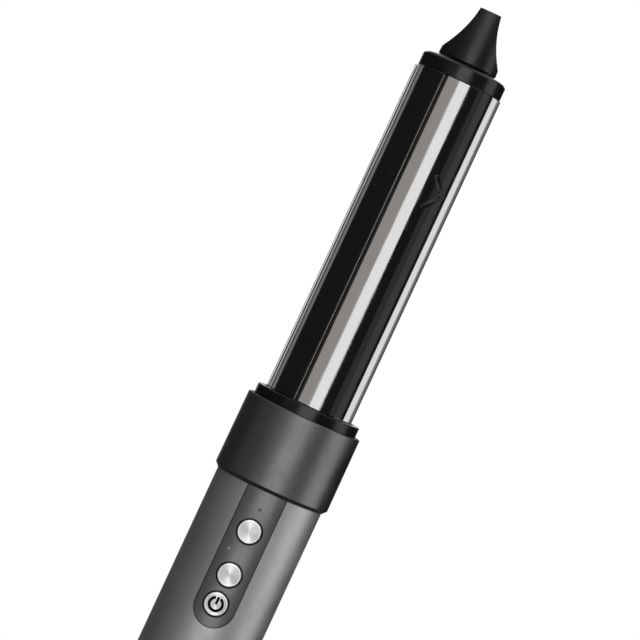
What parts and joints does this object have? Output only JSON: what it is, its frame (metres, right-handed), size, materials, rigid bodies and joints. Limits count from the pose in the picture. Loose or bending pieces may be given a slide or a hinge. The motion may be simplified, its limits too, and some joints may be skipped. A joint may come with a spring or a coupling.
{
  "type": "hot-air curling styler",
  "caption": "Round-barrel hot-air curling styler with tangential air vanes, a lock collar, a cool tip and a button handle.",
  "frame": {"origin": "centre of the foot's flat underside", "axes": "+Z along the handle and barrel to the cool tip; -Y is the side with the buttons"},
  "size_m": [0.0422, 0.042, 0.4096],
  "materials": {
    "handle_paint": "satin metallic paint",
    "strip_paint": "satin metallic paint",
    "collar_paint": "satin metallic paint",
    "button_metal": "spun and bright",
    "polished_vane": "polished",
    "black_plastic": "fine satin",
    "black_gloss": "glossy",
    "lens_plastic": "frosted",
    "board_green": "solder mask",
    "chassis_plastic": "moulded",
    "steel": "bright",
    "seal_rubber": "silicone",
    "mount_rubber": "soft black",
    "mica": "flaky",
    "coil_wire": "oxidised",
    "ceramic": "unglazed",
    "copper": "enamelled",
    "motor_metal": "cast",
    "magnet": "ground",
    "can_sleeve": "shrunk sleeve",
    "wire_jacket": "smooth jacket",
    "cage_metal": "satin painted"
  },
  "bodies": {
    "handle": {"handle_sleeve": "handle_paint", "control_panel": "strip_paint", "button_bezels": "black_gloss", "indicator_lenses": "lens_plastic", "control_board": "board_green", "tact_switches": "black_plastic", "chassis_front": "chassis_plastic", "chassis_back": "chassis_plastic", "chassis_screws": "steel", "outlet_neck": "black_plastic", "outlet_grille": "steel", "neck_seal": "seal_rubber", "heater_tube": "mica", "heater_cross": "mica", "heater_coil": "coil_wire", "thermal_fuse": "ceramic", "thermostat": "ceramic", "temperature_sensor": "copper", "motor_housing": "motor_metal", "end_bell": "motor_metal", "stator_core": "steel", "stator_windings": "copper", "motor_bearings": "steel", "motor_mounts": "mount_rubber", "diffuser": "motor_metal", "driver_board": "board_green", "driver_capacitor": "can_sleeve", "wire_harness": "wire_jacket", "intake_frame": "chassis_plastic", "base_cap": "black_plastic", "base_screws": "steel", "cord_gland": "black_plastic", "cord_clamp": "chassis_plastic", "clamp_screws": "steel"},
    "rotor": {"rotor_shaft": "steel", "rotor_magnet": "magnet", "impeller": "motor_metal"},
    "filter": {"filter_cage": "cage_metal", "filter_screen": "steel"},
    "power_key": {"power_button": "button_metal", "power_plunger": "black_plastic"},
    "heat_key": {"heat_button": "button_metal", "heat_plunger": "black_plastic"},
    "airflow_key": {"airflow_button": "button_metal", "airflow_plunger": "black_plastic"},
    "barrel": {"barrel_core": "black_plastic", "vane_1": "polished_vane", "vane_2": "polished_vane", "vane_3": "polished_vane", "vane_4": "polished_vane", "vane_5": "polished_vane", "barrel_base_ring": "black_gloss", "barrel_adapter": "black_plastic", "barrel_cap": "black_gloss", "cool_tip": "black_gloss", "tip_screw": "steel", "flow_cone": "chassis_plastic"},
    "collar": {"lock_collar": "collar_paint", "collar_lugs": "steel"}
  },
  "joints": [
    {"name": "rotor_spin", "type": "hinge", "parent": "handle", "child": "rotor", "pos_m": [0, 0, 0.085], "axis": [0, 0, 1], "continuous": true},
    {"name": "filter_pull", "type": "slide", "parent": "handle", "child": "filter", "axis": [0, 0, -1], "range_m": [0, 0.046]},
    {"name": "power_press", "type": "slide", "parent": "handle", "child": "power_key", "axis": [0, 1, 0], "range_m": [0, 0.0008], "stiffness_N_per_m": 1500, "springref_m": -0.0005},
    {"name": "heat_press", "type": "slide", "parent": "handle", "child": "heat_key", "axis": [0, 1, 0], "range_m": [0, 0.0008], "stiffness_N_per_m": 1500, "springref_m": -0.0005},
    {"name": "airflow_press", "type": "slide", "parent": "handle", "child": "airflow_key", "axis": [0, 1, 0], "range_m": [0, 0.0008], "stiffness_N_per_m": 1500, "springref_m": -0.0005},
    {"name": "barrel_lift", "type": "slide", "parent": "handle", "child": "barrel", "axis": [0, 0, 1], "range_m": [0, 0.035]},
    {"name": "collar_twist", "type": "hinge", "parent": "barrel", "child": "collar", "pos_m": [0, 0, 0.244], "axis": [0, 0, 1], "range_deg": [0, 50]}
  ]
}
